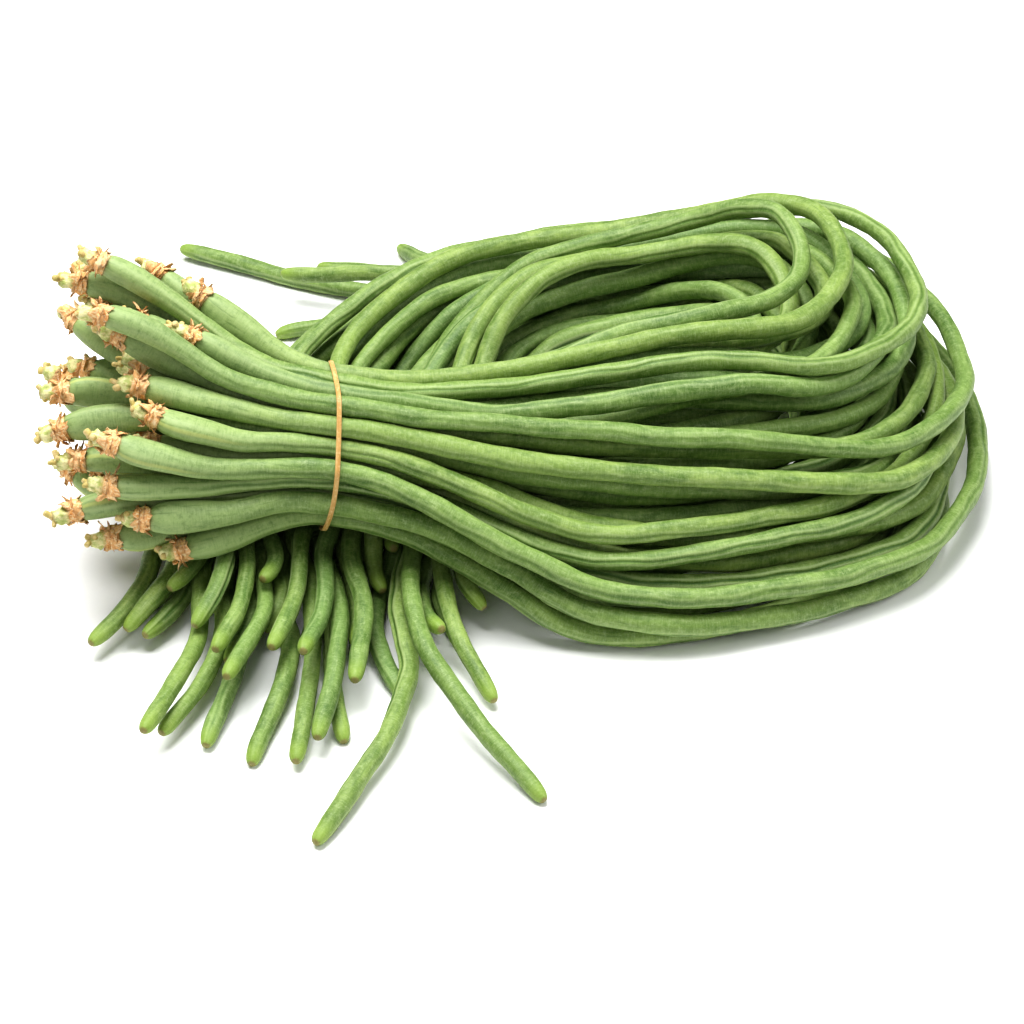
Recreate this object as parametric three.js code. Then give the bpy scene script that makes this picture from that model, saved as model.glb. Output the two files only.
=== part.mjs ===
// A bunch of yardlong beans, laid down. A rubber band holds the stem ends together; the pods run to the
// right, turn back in one loop and pass under the tied neck, and their tips fan out in front of it.
// Millimetres, +Z up, seen from -Y with the stem ends towards -X, resting on Z = 0.

import * as THREE from "three";

// Sizes of one bean
const POD_RADIUS = 3.1;
const SIDES = 6;

// Shape of the stem end: distance from the cut, half-width and half-thickness. It runs over the knobby
// stem, the ruff of the calyx, the narrow collar behind it and the swollen, flattened shoulder.
const STEM_SHAPE = [
  [0.8, 1.4, 1.4], [3, 2.2, 2.1], [6, 2.2, 2.2], [8.5, 4.1, 3.9], [11, 3.1, 2.9],
  [16, 5, 3.8], [23, 4.9, 3.8], [33, 3.8, 3.4], [46, 3.1, 3.1],
];
const CALYX = 8.5;
const CALYX_NOTCH = 0.78; // radius between two sepals, as a share of the radius at their points

// Shape of the tip: distance from its end, half-width and half-thickness
const TIP_SHAPE = [[0.6, 1.3, 1.3], [2.4, 2.5, 2.5], [6, 3, 3]];
const TIP_LENGTH = 6;

// The bunch
const BEAN_COUNT = 40;
const TOUCH_GAP = 0.25; // left between pods that lie on each other
const STEM_X_NEAR = -107; // the stem ends start between these places
const STEM_X_FAR = -143;
const STEM_SLANT = 18; // how much farther right the outermost third of them starts, at most

// The rubber band round the neck, its near side shifted a little to the right
const BAND_X = -53;
const BAND_Y = 42;
const BAND_Z = 47;
const BAND_WIDTH = 2.2;
const BAND_THICKNESS = 1.1;
const BAND_LEAN_Y = -0.11; // shift in X for each millimetre of Y
const BAND_LEAN_Z = 0.05; // shift in X for each millimetre of Z
const BAND_SIDES = 32;
const BAND_REACH = 12; // length of neck that it presses together
const TIED_LENGTH = 150; // the part of a bean, from its stem end, that can lie inside the band

// Sections of the bunch along its length: its middle, its half-width from the outer, lower strands to the
// inner, upper ones, its half-thickness, how far a strand drifts from its place in the section, and how
// far the section splits into two clusters.
const SECTIONS = [
  { name: "ends", at: [-150, 64, 65], inner: [0, 44, 37], thick: [0, -19, 23], drift: 0.35, split: 0.16 },
  { name: "fan", at: [-118, 56, 57.5], inner: [0, 36, 30], thick: [0, -16, 20], drift: 0.15, split: 0.16 },
  { name: "flare", at: [-84, 46.5, 48.5], inner: [0, 25, 20], thick: [0, -13, 16], drift: 0.05, split: 0.06 },
  { name: "neck", at: [-53, 42, 46], inner: [0, 16, 13.5], thick: [0, -12, 14.7], drift: 0 },
  { name: "past the neck", at: [-8, 39, 39.5], inner: [0, 25, 22], thick: [0, -9, 10], drift: 0.04 },
  { name: "coming out", at: [25, 38, 37], inner: [0, 37, 32], thick: [0, -7, 8], drift: 0.08 },
  { name: "front", at: [62, 42, 38], inner: [-3, 38, 34], thick: [0, -7, 8], drift: 0.1 },
  { name: "front of the turn", at: [99, 61, 37], inner: [-23, 24, 32], thick: [14, -13, 5], drift: 0.14 },
  { name: "turn", at: [113, 103, 36.5], inner: [-20, 3, 32], thick: [29, 0, 0], drift: 0.2 },
  { name: "back of the turn", at: [92, 146, 37.5], inner: [-8, -7, 33], thick: [26, 26, -3], drift: 0.2 },
  { name: "back", at: [42, 158, 28], inner: [2, -7, 26], thick: [-2, 29, -5], drift: 0.2 },
  { name: "coming down", at: [-15, 147, 22], inner: [8, -8, 21], thick: [-24, 24, -6], drift: 0.15 },
  { name: "behind the neck", at: [-45, 108, 13], inner: [10, 2, 8], thick: [-38, 8, -4], drift: 0.1 },
];
const BACK_SECTIONS = 11; // strands whose tips stay behind leave the bunch after this section
const DRIFT_TURN = 0.7; // radians of drift from one section to the next
const SPLIT_AT = 0.12; // how far inward from the middle the stem ends part into two clusters

// Where the strands pass under the neck, from the innermost strand to the outermost
const CROSSING = { fromX: -24, toX: -98, y: 47, z: 9, spread: 6 };

// Where the tips lie and how far their strands bow to the right, from the innermost strand outwards
const FRONT_TIPS = [
  [-19, 18, -3], [-20, 4, -3], [-14, -24, -6], [-24, -4, -5], [8, -67, -14], [-28, 20, 2], [-32, -22, -6],
  [-38, 10, 2], [-36, 16, 0], [-52, -84, 11], [-47, -40, -5], [-50, -28, 3], [-53, -9, 2], [-58, 4, 0],
  [-61, -50, 6], [-65, -56, 4], [-60, -30, 3], [-68, -14, 2], [-72, -54, 8], [-80, -33, 5], [-74, 6, 2],
  [-78, -45, 7], [-82, -25, 6], [-84, 10, 3], [-86, -8, 5], [-90, -21, 6], [-96, -2, 2], [-96, -52, 6],
  [-100, 12, 4], [-105, -38, 6], [-108, -8, 5], [-112, 2, 4], [-121, 14, 5],
];
const BACK_TIPS = [[-80, 172], [-58, 178], [-78, 197], [-50, 206], [-66, 214], [-114, 225], [-40, 222]];

// How the pods are settled against each other
const SPACING = 8; // between the points of a strand while it settles
const ROUNDS = 900;
const HOLD = 0.02; // pull towards the first route, sideways
const LIFT = 0.012; // pull towards the first route, up and down
const WEIGHT = 0.05; // millimetres that a strand sinks in a round
const GRIP = 0.07; // pull of the band towards the middle of the neck
const STIFFNESS = 0.12;
const CLOSE = 9; // added to two stretches' half-lengths, the distance within which they may touch
const FIT = 0.7; // how far a pod's straight facets may leave its settled line

const POD_MATERIAL = { color: 0x7da653, roughness: 0.6, metalness: 0 };
const BAND_MATERIAL = { color: 0xc9803c, roughness: 0.55, metalness: 0 };

// Seeded random numbers from 0 to 1
let seed = 20240611;
function random() {
  seed = (seed + 0x6d2b79f5) | 0;
  let t = Math.imul(seed ^ (seed >>> 15), 1 | seed);
  t = (t + Math.imul(t ^ (t >>> 7), 61 | t)) ^ t;
  return ((t ^ (t >>> 14)) >>> 0) / 4294967296;
}
const between = (low, high) => low + (high - low) * random();

const vector = (numbers) => new THREE.Vector3(...numbers);
const place = (p) => new THREE.Vector3(p.x, p.y, p.z);

// Evenly spaced places over a disc of radius 1, the innermost strands' first
function spotsInSection() {
  const golden = Math.PI * (3 - Math.sqrt(5));
  const spots = [];
  for (let i = 0; i < BEAN_COUNT; i++) {
    const r = Math.sqrt((i + 0.5) / BEAN_COUNT);
    spots.push([r * Math.cos(i * golden), r * Math.sin(i * golden)]);
  }
  const inward = ([u, v]) => 0.9 * u - 0.5 * v;
  return spots.sort((p, q) => inward(q) - inward(p));
}

// Points of a strand from its stem end to where it leaves the bunch
function pointsInBunch([u, v], sections) {
  const phaseU = between(0, 2 * Math.PI);
  const phaseV = between(0, 2 * Math.PI);
  return sections.map(({ at, inner, thick, drift, split = 0 }, k) => {
    const spot = new THREE.Vector2(u * (1 - split) + split * Math.sign(u - SPLIT_AT), v);
    spot.x += drift * Math.sin(phaseU + DRIFT_TURN * k);
    spot.y += drift * Math.sin(phaseV + DRIFT_TURN * k);
    spot.clampLength(0, 1);
    return vector(at).addScaledVector(vector(inner), spot.x).addScaledVector(vector(thick), spot.y);
  });
}

// Points of a strand that passes under the neck and ends in front
function pointsToFrontTip(rank) {
  const [tipX, tipY, bow] = FRONT_TIPS[rank];
  const share = rank / (FRONT_TIPS.length - 1);
  const crossX = CROSSING.fromX + (CROSSING.toX - CROSSING.fromX) * share;
  const crossZ = CROSSING.z + between(-CROSSING.spread, CROSSING.spread);
  return [
    new THREE.Vector3(crossX, CROSSING.y, crossZ),
    new THREE.Vector3((crossX + tipX) / 2 + bow, (32 + tipY) / 2, POD_RADIUS + between(0, 8)),
    new THREE.Vector3(tipX, tipY, POD_RADIUS + between(0, 3)),
  ];
}

// Points of a strand whose tip stays behind
function pointsToBackTip(rank) {
  const [tipX, tipY] = BACK_TIPS[rank - FRONT_TIPS.length];
  return [
    new THREE.Vector3((tipX - 10) / 2, (tipY + 176) / 2, POD_RADIUS + between(1, 9)),
    new THREE.Vector3(tipX, tipY, POD_RADIUS + between(0, 3)),
  ];
}

// Evenly spaced points on a smooth curve through the given ones
function evenly(points, spacing) {
  const curve = new THREE.CatmullRomCurve3(points, false, "centripetal");
  curve.arcLengthDivisions = points.length * 20;
  return curve.getSpacedPoints(Math.round(curve.getLength() / spacing));
}

// The route of a strand before the pods are settled
function firstRoute(spot, rank) {
  const crosses = rank < FRONT_TIPS.length;
  const bunched = pointsInBunch(spot, crosses ? SECTIONS : SECTIONS.slice(0, BACK_SECTIONS));
  const ending = crosses ? pointsToFrontTip(rank) : pointsToBackTip(rank);
  const fine = evenly([...bunched, ...ending], 1);
  const slant = STEM_SLANT * Math.max(0, (3 * rank) / BEAN_COUNT - 2);
  const start = STEM_X_FAR + (STEM_X_NEAR - STEM_X_FAR - slant / 2) * ((rank * 0.618) % 1) + slant;
  return evenly(fine.slice(fine.findIndex((p) => p.x > start)), SPACING);
}

// Half-width and half-thickness of a bean at a distance from its stem end and one from its tip
function shapeAt(fromStem, fromTip) {
  const [shape, distance] = fromTip < TIP_LENGTH ? [TIP_SHAPE, fromTip] : [STEM_SHAPE, fromStem];
  const above = shape.findIndex(([s]) => s >= distance);
  if (above < 0) return [POD_RADIUS, POD_RADIUS];
  if (above === 0) return shape[0].slice(1);
  const [s0, wide0, thick0] = shape[above - 1];
  const [s1, wide1, thick1] = shape[above];
  const share = (distance - s0) / (s1 - s0);
  return [wide0 + (wide1 - wide0) * share, thick0 + (thick1 - thick0) * share];
}

// A strand as a chain of moving points; each remembers its first place and its distance along the strand
function makeChain(points) {
  const along = [0];
  for (let i = 1; i < points.length; i++) along.push(along[i - 1] + points[i].distanceTo(points[i - 1]));
  const length = along[along.length - 1];
  return points.map((p, i) => {
    const [wide, thick] = shapeAt(along[i], length - along[i]);
    const z = Math.max(p.z, wide);
    return { x: p.x, y: p.y, z, homeX: p.x, homeY: p.y, homeZ: z, wide, thick, along: along[i] };
  });
}

// Stretches of different chains that are near each other, with the space to leave between them
function closePairs(chains) {
  const stretches = [];
  chains.forEach((chain, number) => {
    for (let i = 1; i < chain.length; i++) {
      const [from, to] = [chain[i - 1], chain[i]];
      const [x, y, z] = [(from.x + to.x) / 2, (from.y + to.y) / 2, (from.z + to.z) / 2];
      stretches.push({ number, from, to, x, y, z, reach: (to.along - from.along) / 2 });
    }
  });
  const pairs = [];
  for (let i = 0; i < stretches.length; i++) {
    const a = stretches[i];
    for (let j = i + 1; j < stretches.length; j++) {
      const b = stretches[j];
      const reach = a.reach + b.reach + CLOSE;
      const apart = (a.x - b.x) ** 2 + (a.y - b.y) ** 2 + (a.z - b.z) ** 2;
      if (a.number === b.number || apart > reach * reach) continue;
      const bandBetween = a.from.along < TIED_LENGTH !== b.from.along < TIED_LENGTH;
      const atBand = Math.min(Math.abs(a.x - BAND_X), Math.abs(b.x - BAND_X)) < BAND_REACH;
      pairs.push([a, b, bandBetween && atBand ? BAND_THICKNESS + 7 * TOUCH_GAP : TOUCH_GAP]);
    }
  }
  return pairs;
}

const clamp = (value) => Math.min(1, Math.max(0, value));

// Shares along two stretches where they are nearest each other
function nearest(a, b) {
  const [ux, uy, uz] = [a.to.x - a.from.x, a.to.y - a.from.y, a.to.z - a.from.z];
  const [vx, vy, vz] = [b.to.x - b.from.x, b.to.y - b.from.y, b.to.z - b.from.z];
  const [wx, wy, wz] = [a.from.x - b.from.x, a.from.y - b.from.y, a.from.z - b.from.z];
  const uu = ux * ux + uy * uy + uz * uz;
  const uv = ux * vx + uy * vy + uz * vz;
  const vv = vx * vx + vy * vy + vz * vz;
  const uw = ux * wx + uy * wy + uz * wz;
  const vw = vx * wx + vy * wy + vz * wz;
  const across = uu * vv - uv * uv;
  const s = across > 1e-9 ? clamp((uv * vw - vv * uw) / across) : 0.5;
  const t = (uv * s + vw) / vv;
  if (t < 0) return [clamp(-uw / uu), 0];
  if (t > 1) return [clamp((uv - uw) / uu), 1];
  return [s, t];
}

function shift(point, dx, dy, dz, share) {
  point.x += dx * share;
  point.y += dy * share;
  point.z += dz * share;
}

// Move stretches that overlap apart and return the deepest overlap found
function separate(pairs) {
  let deepest = 0;
  for (const [a, b, space] of pairs) {
    const [s, t] = nearest(a, b);
    const dx = a.from.x + s * (a.to.x - a.from.x) - b.from.x - t * (b.to.x - b.from.x);
    const dy = a.from.y + s * (a.to.y - a.from.y) - b.from.y - t * (b.to.y - b.from.y);
    const dz = a.from.z + s * (a.to.z - a.from.z) - b.from.z - t * (b.to.z - b.from.z);
    const apart = Math.max(Math.sqrt(dx * dx + dy * dy + dz * dz), 1e-6);
    const radii = a.from.wide * (1 - s) + a.to.wide * s + b.from.wide * (1 - t) + b.to.wide * t;
    const overlap = radii + space - apart;
    if (overlap <= 0) continue;
    deepest = Math.max(deepest, overlap);
    const push = overlap / apart / ((1 - s) ** 2 + s ** 2 + (1 - t) ** 2 + t ** 2);
    shift(a.from, dx, dy, dz, (1 - s) * push);
    shift(a.to, dx, dy, dz, s * push);
    shift(b.from, dx, dy, dz, (t - 1) * push);
    shift(b.to, dx, dy, dz, -t * push);
  }
  return deepest;
}

// Keep the distances between the points of a chain
function keepLength(chain) {
  for (let i = 1; i < chain.length; i++) {
    const [a, b] = [chain[i - 1], chain[i]];
    const [dx, dy, dz] = [b.x - a.x, b.y - a.y, b.z - a.z];
    const length = Math.sqrt(dx * dx + dy * dy + dz * dz);
    const excess = (length - (b.along - a.along)) / length / 2;
    shift(a, dx, dy, dz, excess);
    shift(b, dx, dy, dz, -excess);
  }
}

// Hold the bend that a chain had on its first route, over a reach of one or more points
function keepBend(chain, reach) {
  for (let i = reach; i < chain.length - reach; i++) {
    const [a, b, c] = [chain[i - reach], chain[i], chain[i + reach]];
    const dx = (a.x - a.homeX + c.x - c.homeX) / 2 - (b.x - b.homeX);
    const dy = (a.y - a.homeY + c.y - c.homeY) / 2 - (b.y - b.homeY);
    const dz = (a.z - a.homeZ + c.z - c.homeZ) / 2 - (b.z - b.homeZ);
    shift(b, dx, dy, dz, STIFFNESS);
    shift(a, dx, dy, dz, -STIFFNESS / 2);
    shift(c, dx, dy, dz, -STIFFNESS / 2);
  }
}

// Where the plane of the band is, at a place in the section
const bandX = (y, z) => BAND_X + BAND_LEAN_Y * (y - BAND_Y) + BAND_LEAN_Z * (z - BAND_Z);

const insideBand = (p, reach) => p.along < TIED_LENGTH && Math.abs(p.x - bandX(p.y, p.z)) < reach;

const average = (points, axis) => points.reduce((sum, p) => sum + p[axis], 0) / points.length;

// Press the pods at the band towards the middle of the neck
function grip(points) {
  const held = points.filter((p) => insideBand(p, BAND_REACH));
  const midY = average(held, "y");
  const midZ = average(held, "z");
  for (const p of held) shift(p, 0, midY - p.y, midZ - p.z, GRIP);
}

function keepAboveFloor(points) {
  for (const p of points) p.z = Math.max(p.z, p.wide);
}

// Let the strands sink and press against each other until they lie as a heap
function settle(chains) {
  const points = chains.flat();
  let pairs = [];
  for (let round = 0; round < ROUNDS; round++) {
    const cool = 1 - round / ROUNDS;
    if (round % 12 === 0) pairs = closePairs(chains);
    for (const p of points) {
      shift(p, p.homeX - p.x, p.homeY - p.y, 0, HOLD * cool);
      shift(p, 0, 0, p.homeZ - p.z, LIFT * cool);
      p.z -= WEIGHT * cool;
    }
    grip(points);
    for (const chain of chains) {
      keepBend(chain, 1);
      keepBend(chain, 2);
      keepBend(chain, 4);
      keepLength(chain);
    }
    separate(pairs);
    separate(pairs);
    keepAboveFloor(points);
  }
}

// Remove what is left of the overlaps
function untangle(chains) {
  const points = chains.flat();
  let pairs = [];
  for (let round = 0; round < 800; round++) {
    if (round % 20 === 0) pairs = closePairs(chains);
    const deepest = separate(pairs);
    keepAboveFloor(points);
    if (deepest < 0.01) return;
  }
}

// The farthest place on a line that one straight facet from a start can reach within the fit
function farthestStraight(line, start, end) {
  const chord = new THREE.Line3();
  const foot = new THREE.Vector3();
  for (let stop = start + 2; stop <= end; stop++) {
    chord.set(line[start], line[stop]);
    for (let i = start + 1; i < stop; i++) {
      chord.closestPointToPoint(line[i], true, foot);
      if (foot.distanceTo(line[i]) > FIT) return stop - 1;
    }
  }
  return end;
}

// The points that a bean's rings stand on: those of its two shaped ends, and as few as fit between them
function ringPoints(chain) {
  const spacing = 0.5;
  const line = evenly(chain.map(place), spacing);
  const stops = [0, ...STEM_SHAPE.map(([s]) => Math.round(s / spacing))];
  const tipStops = [0, ...TIP_SHAPE.map(([s]) => Math.round(s / spacing))].map((s) => line.length - 1 - s);
  const tipStart = tipStops.pop();
  while (stops.at(-1) < tipStart) stops.push(farthestStraight(line, stops.at(-1), tipStart));
  return [...stops, ...tipStops.reverse()].map((stop) => line[stop]);
}

// Rings of a bean: each point's frame is carried along the strand without twisting
function beanRings(chain) {
  const places = chain.map(place);
  const roll = between(0, 2 * Math.PI);
  const normal = new THREE.Vector3(0, Math.cos(roll), Math.sin(roll));
  const rings = [];
  for (let i = 1; i < places.length - 1; i++) {
    const ahead = places[i + 1].clone().sub(places[i]).normalize();
    const tangent = places[i].clone().sub(places[i - 1]).normalize().add(ahead).normalize();
    normal.addScaledVector(tangent, -normal.dot(tangent)).normalize();
    const binormal = tangent.clone().cross(normal);
    const isCalyx = Math.abs(chain[i].along - CALYX) < 1;
    for (let side = 0; side < SIDES; side++) {
      const angle = (2 * Math.PI * side) / SIDES;
      const share = isCalyx && side % 2 === 1 ? CALYX_NOTCH : 1;
      rings.push(
        places[i].clone()
          .addScaledVector(normal, Math.cos(angle) * chain[i].wide * share)
          .addScaledVector(binormal, Math.sin(angle) * chain[i].thick * share),
      );
    }
  }
  return { rings, start: places[0], end: places[places.length - 1] };
}

// Faces between rings of the same number of points, wound to face outwards
function tubeFaces(ringCount, sides, closed) {
  const faces = [];
  const steps = closed ? ringCount : ringCount - 1;
  for (let i = 0; i < steps; i++) {
    const next = ((i + 1) % ringCount) * sides;
    for (let j = 0; j < sides; j++) {
      const [a, b] = [i * sides + j, i * sides + ((j + 1) % sides)];
      const [c, d] = [next + ((j + 1) % sides), next + j];
      faces.push(a, b, c, a, c, d);
    }
  }
  return faces;
}

function makeGeometry(points, faces) {
  const geometry = new THREE.BufferGeometry();
  geometry.setAttribute("position", new THREE.Float32BufferAttribute(points.flatMap((p) => p.toArray()), 3));
  geometry.setIndex(faces);
  return geometry;
}

function beanGeometry(chain) {
  const { rings, start, end } = beanRings(chain);
  const ringCount = rings.length / SIDES;
  const faces = tubeFaces(ringCount, SIDES, false);
  const [startIndex, endIndex, lastRing] = [rings.length, rings.length + 1, rings.length - SIDES];
  for (let j = 0; j < SIDES; j++) {
    const next = (j + 1) % SIDES;
    faces.push(startIndex, next, j);
    faces.push(endIndex, lastRing + j, lastRing + next);
  }
  return makeGeometry([...rings, start, end], faces);
}

// Places along the straight facets of a bean
function facetPoints(bean) {
  const points = [];
  for (let i = 1; i < bean.length; i++) {
    for (let share = 0; share <= 1; share += 1 / 16) {
      const mixed = (key) => bean[i - 1][key] * (1 - share) + bean[i][key] * share;
      const [x, y, z, wide, along] = ["x", "y", "z", "wide", "along"].map(mixed);
      points.push({ x, y, z, wide, along });
    }
  }
  return points;
}

// How far the pods at the band reach from the middle of the neck in a direction
function neckReach(held, midY, midZ, angle) {
  const reach = (p) => (p.y - midY) * Math.cos(angle) + (p.z - midZ) * Math.sin(angle) + p.wide;
  return Math.max(...held.map(reach)) + TOUCH_GAP;
}

// The rubber band, stretched tight round the pods at the neck
function bandGeometry(beans) {
  const held = beans.flatMap(facetPoints).filter((p) => insideBand(p, 2 * BAND_WIDTH));
  const midY = average(held, "y");
  const midZ = average(held, "z");
  const turn = (2 * Math.PI) / BAND_SIDES;
  const points = [];
  for (let i = 0; i < BAND_SIDES; i++) {
    const reach = neckReach(held, midY, midZ, i * turn);
    const nextReach = neckReach(held, midY, midZ, (i + 1) * turn);
    for (const [lift, side] of [[0, 1], [BAND_THICKNESS, 1], [BAND_THICKNESS, -1], [0, -1]]) {
      const r = reach + lift;
      const along = (nextReach + lift - r * Math.cos(turn)) / Math.sin(turn);
      const y = midY + r * Math.cos(i * turn) - along * Math.sin(i * turn);
      const z = midZ + r * Math.sin(i * turn) + along * Math.cos(i * turn);
      points.push(new THREE.Vector3(bandX(y, z) + (side * BAND_WIDTH) / 2, y, z));
    }
  }
  return makeGeometry(points, tubeFaces(BAND_SIDES, 4, true));
}

// Put the origin under the middle of the whole bunch, on the surface that it rests on
function centre(group) {
  const box = new THREE.Box3().setFromObject(group);
  const middle = box.getCenter(new THREE.Vector3());
  for (const mesh of group.children) mesh.geometry.translate(-middle.x, -middle.y, -box.min.z);
}

function addPiece(group, name, geometry, material) {
  const mesh = new THREE.Mesh(geometry, new THREE.MeshStandardMaterial(material));
  mesh.name = name;
  group.add(mesh);
}

function beanBunch() {
  const chains = spotsInSection().map((spot, rank) => makeChain(firstRoute(spot, rank)));
  settle(chains);
  untangle(chains);
  const beans = chains.map((chain) => makeChain(ringPoints(chain)));
  untangle(beans);
  const group = new THREE.Group();
  group.name = "yardlong_bean_bunch";
  beans.forEach((bean, i) => {
    addPiece(group, `bean_${String(i + 1).padStart(2, "0")}`, beanGeometry(bean), POD_MATERIAL);
  });
  addPiece(group, "rubber_band", bandGeometry(beans), BAND_MATERIAL);
  centre(group);
  return group;
}

export default beanBunch();
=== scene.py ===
import math
import random
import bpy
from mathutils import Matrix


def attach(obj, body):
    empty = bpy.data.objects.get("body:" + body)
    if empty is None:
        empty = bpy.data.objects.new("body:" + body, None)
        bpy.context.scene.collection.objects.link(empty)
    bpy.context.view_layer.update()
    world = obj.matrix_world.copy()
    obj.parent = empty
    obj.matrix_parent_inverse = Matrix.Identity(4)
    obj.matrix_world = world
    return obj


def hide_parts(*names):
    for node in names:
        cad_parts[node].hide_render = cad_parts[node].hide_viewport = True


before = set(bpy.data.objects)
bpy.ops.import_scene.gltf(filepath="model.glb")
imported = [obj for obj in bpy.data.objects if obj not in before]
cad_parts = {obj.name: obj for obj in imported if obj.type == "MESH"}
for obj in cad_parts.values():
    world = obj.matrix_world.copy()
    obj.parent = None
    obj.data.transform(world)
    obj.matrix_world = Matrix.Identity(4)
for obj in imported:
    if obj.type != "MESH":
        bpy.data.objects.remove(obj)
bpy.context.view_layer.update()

from types import SimpleNamespace

import bpy
import numpy as np
from mathutils import Vector, noise
from mathutils.kdtree import KDTree

# A bunch of yardlong beans tied with a rubber band, in metres. Each bean is drawn on the centre line of its
# solid: a long pod with two seams and seed bulges, a swollen shoulder, a papery calyx and a knobby stem.

MM = 0.001
TURN = 6.28  # about one full turn, for random angles
RNG = random.Random(11)

# Driving dimensions of a bean
POD_RADIUS = 3.1 * MM
THIN_STEM = 2.7 * MM  # wider than a stem's fourth ring, narrower than a tip's
CALYX_START = 4.9 * MM
CALYX_END = 8.7 * MM
SHOULDER = 19 * MM
KINK = 0.5 * MM
FLOOR_GAP = 0.02 * MM

# Distances between the points of a bean's centre line, and between its rings
LINE_STEP = 2.2 * MM
RING_STEP = 1.8 * MM

# Rings at a bean's two ends, closer together than the others
STEM_RINGS = np.arange(0.4 * MM, 20 * MM, 0.65 * MM)
TIP_RINGS = np.array([6.5, 5, 3.6, 2.5, 1.6, 0.9, 0.4, 0.15]) * MM

# How beans are pushed clear of each other: rounds, and the share of an overlap that each bean moves
PUSH_ROUNDS = 30
PUSH_SHARE = 0.25

# Seams: the deepest groove, and how a bean's tone gives the depth of its own
SEAM_DEPTH = 0.54 * MM
SEAM_LEAST = 0.1
SEAM_TONE = 7.31
SEAM_POWER = 1.4  # higher for fewer beans with deep seams

# Section of a seam in radians, and the height of its two ridges as a share of the depth of its groove
GROOVE_WIDTH = 0.14
RIDGE_PLACE = 0.40
RIDGE_WIDTH = 0.17
RIDGE_SHARE = 0.45

# Knobs of the stem and pleats of the calyx: how much they stand out, and how fine they are
KNOB_HEIGHT = 0.42
KNOB_GRAIN = np.array([0.55, 0.55, 0.55])
PLEAT_HEIGHT = 0.26
PLEAT_GRAIN = np.array([1.25, 1.25, 0.35])

# Lobes of the calyx
LOBE_ROWS = 6
LOBE_COLUMNS = 5
LOBE_THICKNESS = 0.26 * MM
LOBE_RADIUS = 3.3 * MM

# Rounds of lobes: place and number, length, lean away from the pod and curl, in millimetres and radians
LOBE_ROUNDS = [
    (7.4, 6, 2.8, 0.25, 0.5),
    (6.6, 5, 2.2, 1.1, 0.6),
    (6.0, 6, 2.6, 2.6, 0.4),
]

# Stubs of flower stalks, with the height and width of their rings as shares of their length and radius
SPUR_COLUMNS = 8
SPUR_PROFILE = [(0, 1.0), (0.35, 0.8), (0.7, 0.9), (0.92, 0.75)]
SPUR_ENDS = (6, 400, 0.5)  # a stub is coloured like the stem 6 mm from its cut end

# The band
BAND_WIDTH = 1.5 * MM
BAND_THICKNESS = 0.9 * MM
BAND_GRIP = 0.97  # how near it comes to the pods' axes, as a share of their radius
BAND_SLIDE = 4.2 * MM  # how far its lower front has slipped towards the stems
BAND_WAVE = 0.35 * MM
BAND_RAYS = 720
BAND_RINGS = 300
BAND_COLUMNS = 12
NECK_FLARE = 0.10  # how fast the neck widens towards the stems

# Places in a bean's list of materials
POD_SKIN = 0
STEM_SKIN = 1
CALYX_SKIN = 2

# Sizes of a bean from its cut end, in millimetres: distance, seam side, other side, half-thickness
START_SHAPE = [
    (0, 0.8, 0.8, 0.8),
    (0.4, 1.6, 1.5, 1.6),
    (1.8, 2.4, 2.2, 2.3),
    (3.4, 2.3, 2.5, 2.3),
    (4.8, 2.4, 2.4, 2.4),
    (5.6, 3.1, 3.1, 2.9),
    (6.8, 3.7, 3.6, 3.4),
    (8.0, 3.8, 3.6, 3.4),
    (8.7, 3.2, 3.0, 2.9),
    (9.3, 3.9, 3.5, 3.3),
    (11, 4.9, 3.9, 3.7),
    (14, 5.7, 4.3, 3.9),
    (18, 5.8, 4.4, 3.95),
    (23, 5.2, 4.2, 3.8),
    (30, 4.2, 3.7, 3.5),
    (39, 3.5, 3.3, 3.2),
    (52, 3.1, 3.1, 3.1),
]

# Sizes of a bean from its tip, in the same order
TIP_SHAPE = [
    (0, 0.6, 0.5, 0.5),
    (0.15, 1.1, 0.9, 1.0),
    (0.5, 1.5, 1.2, 1.4),
    (1.2, 1.95, 1.6, 1.8),
    (2.4, 2.3, 2.0, 2.2),
    (4.5, 2.55, 2.3, 2.5),
    (9, 2.7, 2.55, 2.7),
    (17, 2.75, 2.7, 2.75),
    (60, 2.85, 2.85, 2.85),
    (170, 3.1, 3.1, 3.1),
]

# Angles of the points round a pod, closer together at its two seams
HALF_TURN = [0, 0.15, 0.32, 0.55, 0.9, 1.3, 1.7, 2.1, 2.5, 2.78, 2.97]
ANGLES = np.array(HALF_TURN + [math.pi] + [2 * math.pi - a for a in HALF_TURN[:0:-1]])

# Colours of the pods; DARK_GREEN also lays painted shade in the seam grooves, and PALE_GREEN lays painted
# highlights on the ridges beside them
DEEP_GREEN = (0.072, 0.146, 0.020, 1)
SOFT_GREEN = (0.205, 0.310, 0.082, 1)
MIDDLE_GREEN = (0.175, 0.280, 0.064, 1)
PALE_GREEN = (0.375, 0.470, 0.210, 1)
DARK_GREEN = (0.038, 0.105, 0.010, 1)
SHOULDER_GREEN = (0.325, 0.425, 0.180, 1)
EDGE_YELLOW = (0.560, 0.580, 0.170, 1)
FOOT_BROWN = (0.230, 0.120, 0.020, 1)
TIP_GREEN = (0.285, 0.415, 0.055, 1)
DOT_BROWN = (0.230, 0.150, 0.060, 1)
COOL_CAST = (0.78, 0.86, 0.86, 1)
WARM_CAST = (1.26, 1.15, 1.02, 1)

# Colours of the stems
STALK_GREEN = (0.400, 0.470, 0.130, 1)
STALK_CREAM = (0.800, 0.760, 0.400, 1)
FIBRE_CREAM = (0.820, 0.780, 0.480, 1)
SCAR_BROWN = (0.350, 0.170, 0.040, 1)
CUT_BROWN = (0.330, 0.210, 0.080, 1)
NECK_ORANGE = (0.520, 0.270, 0.080, 1)

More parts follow.
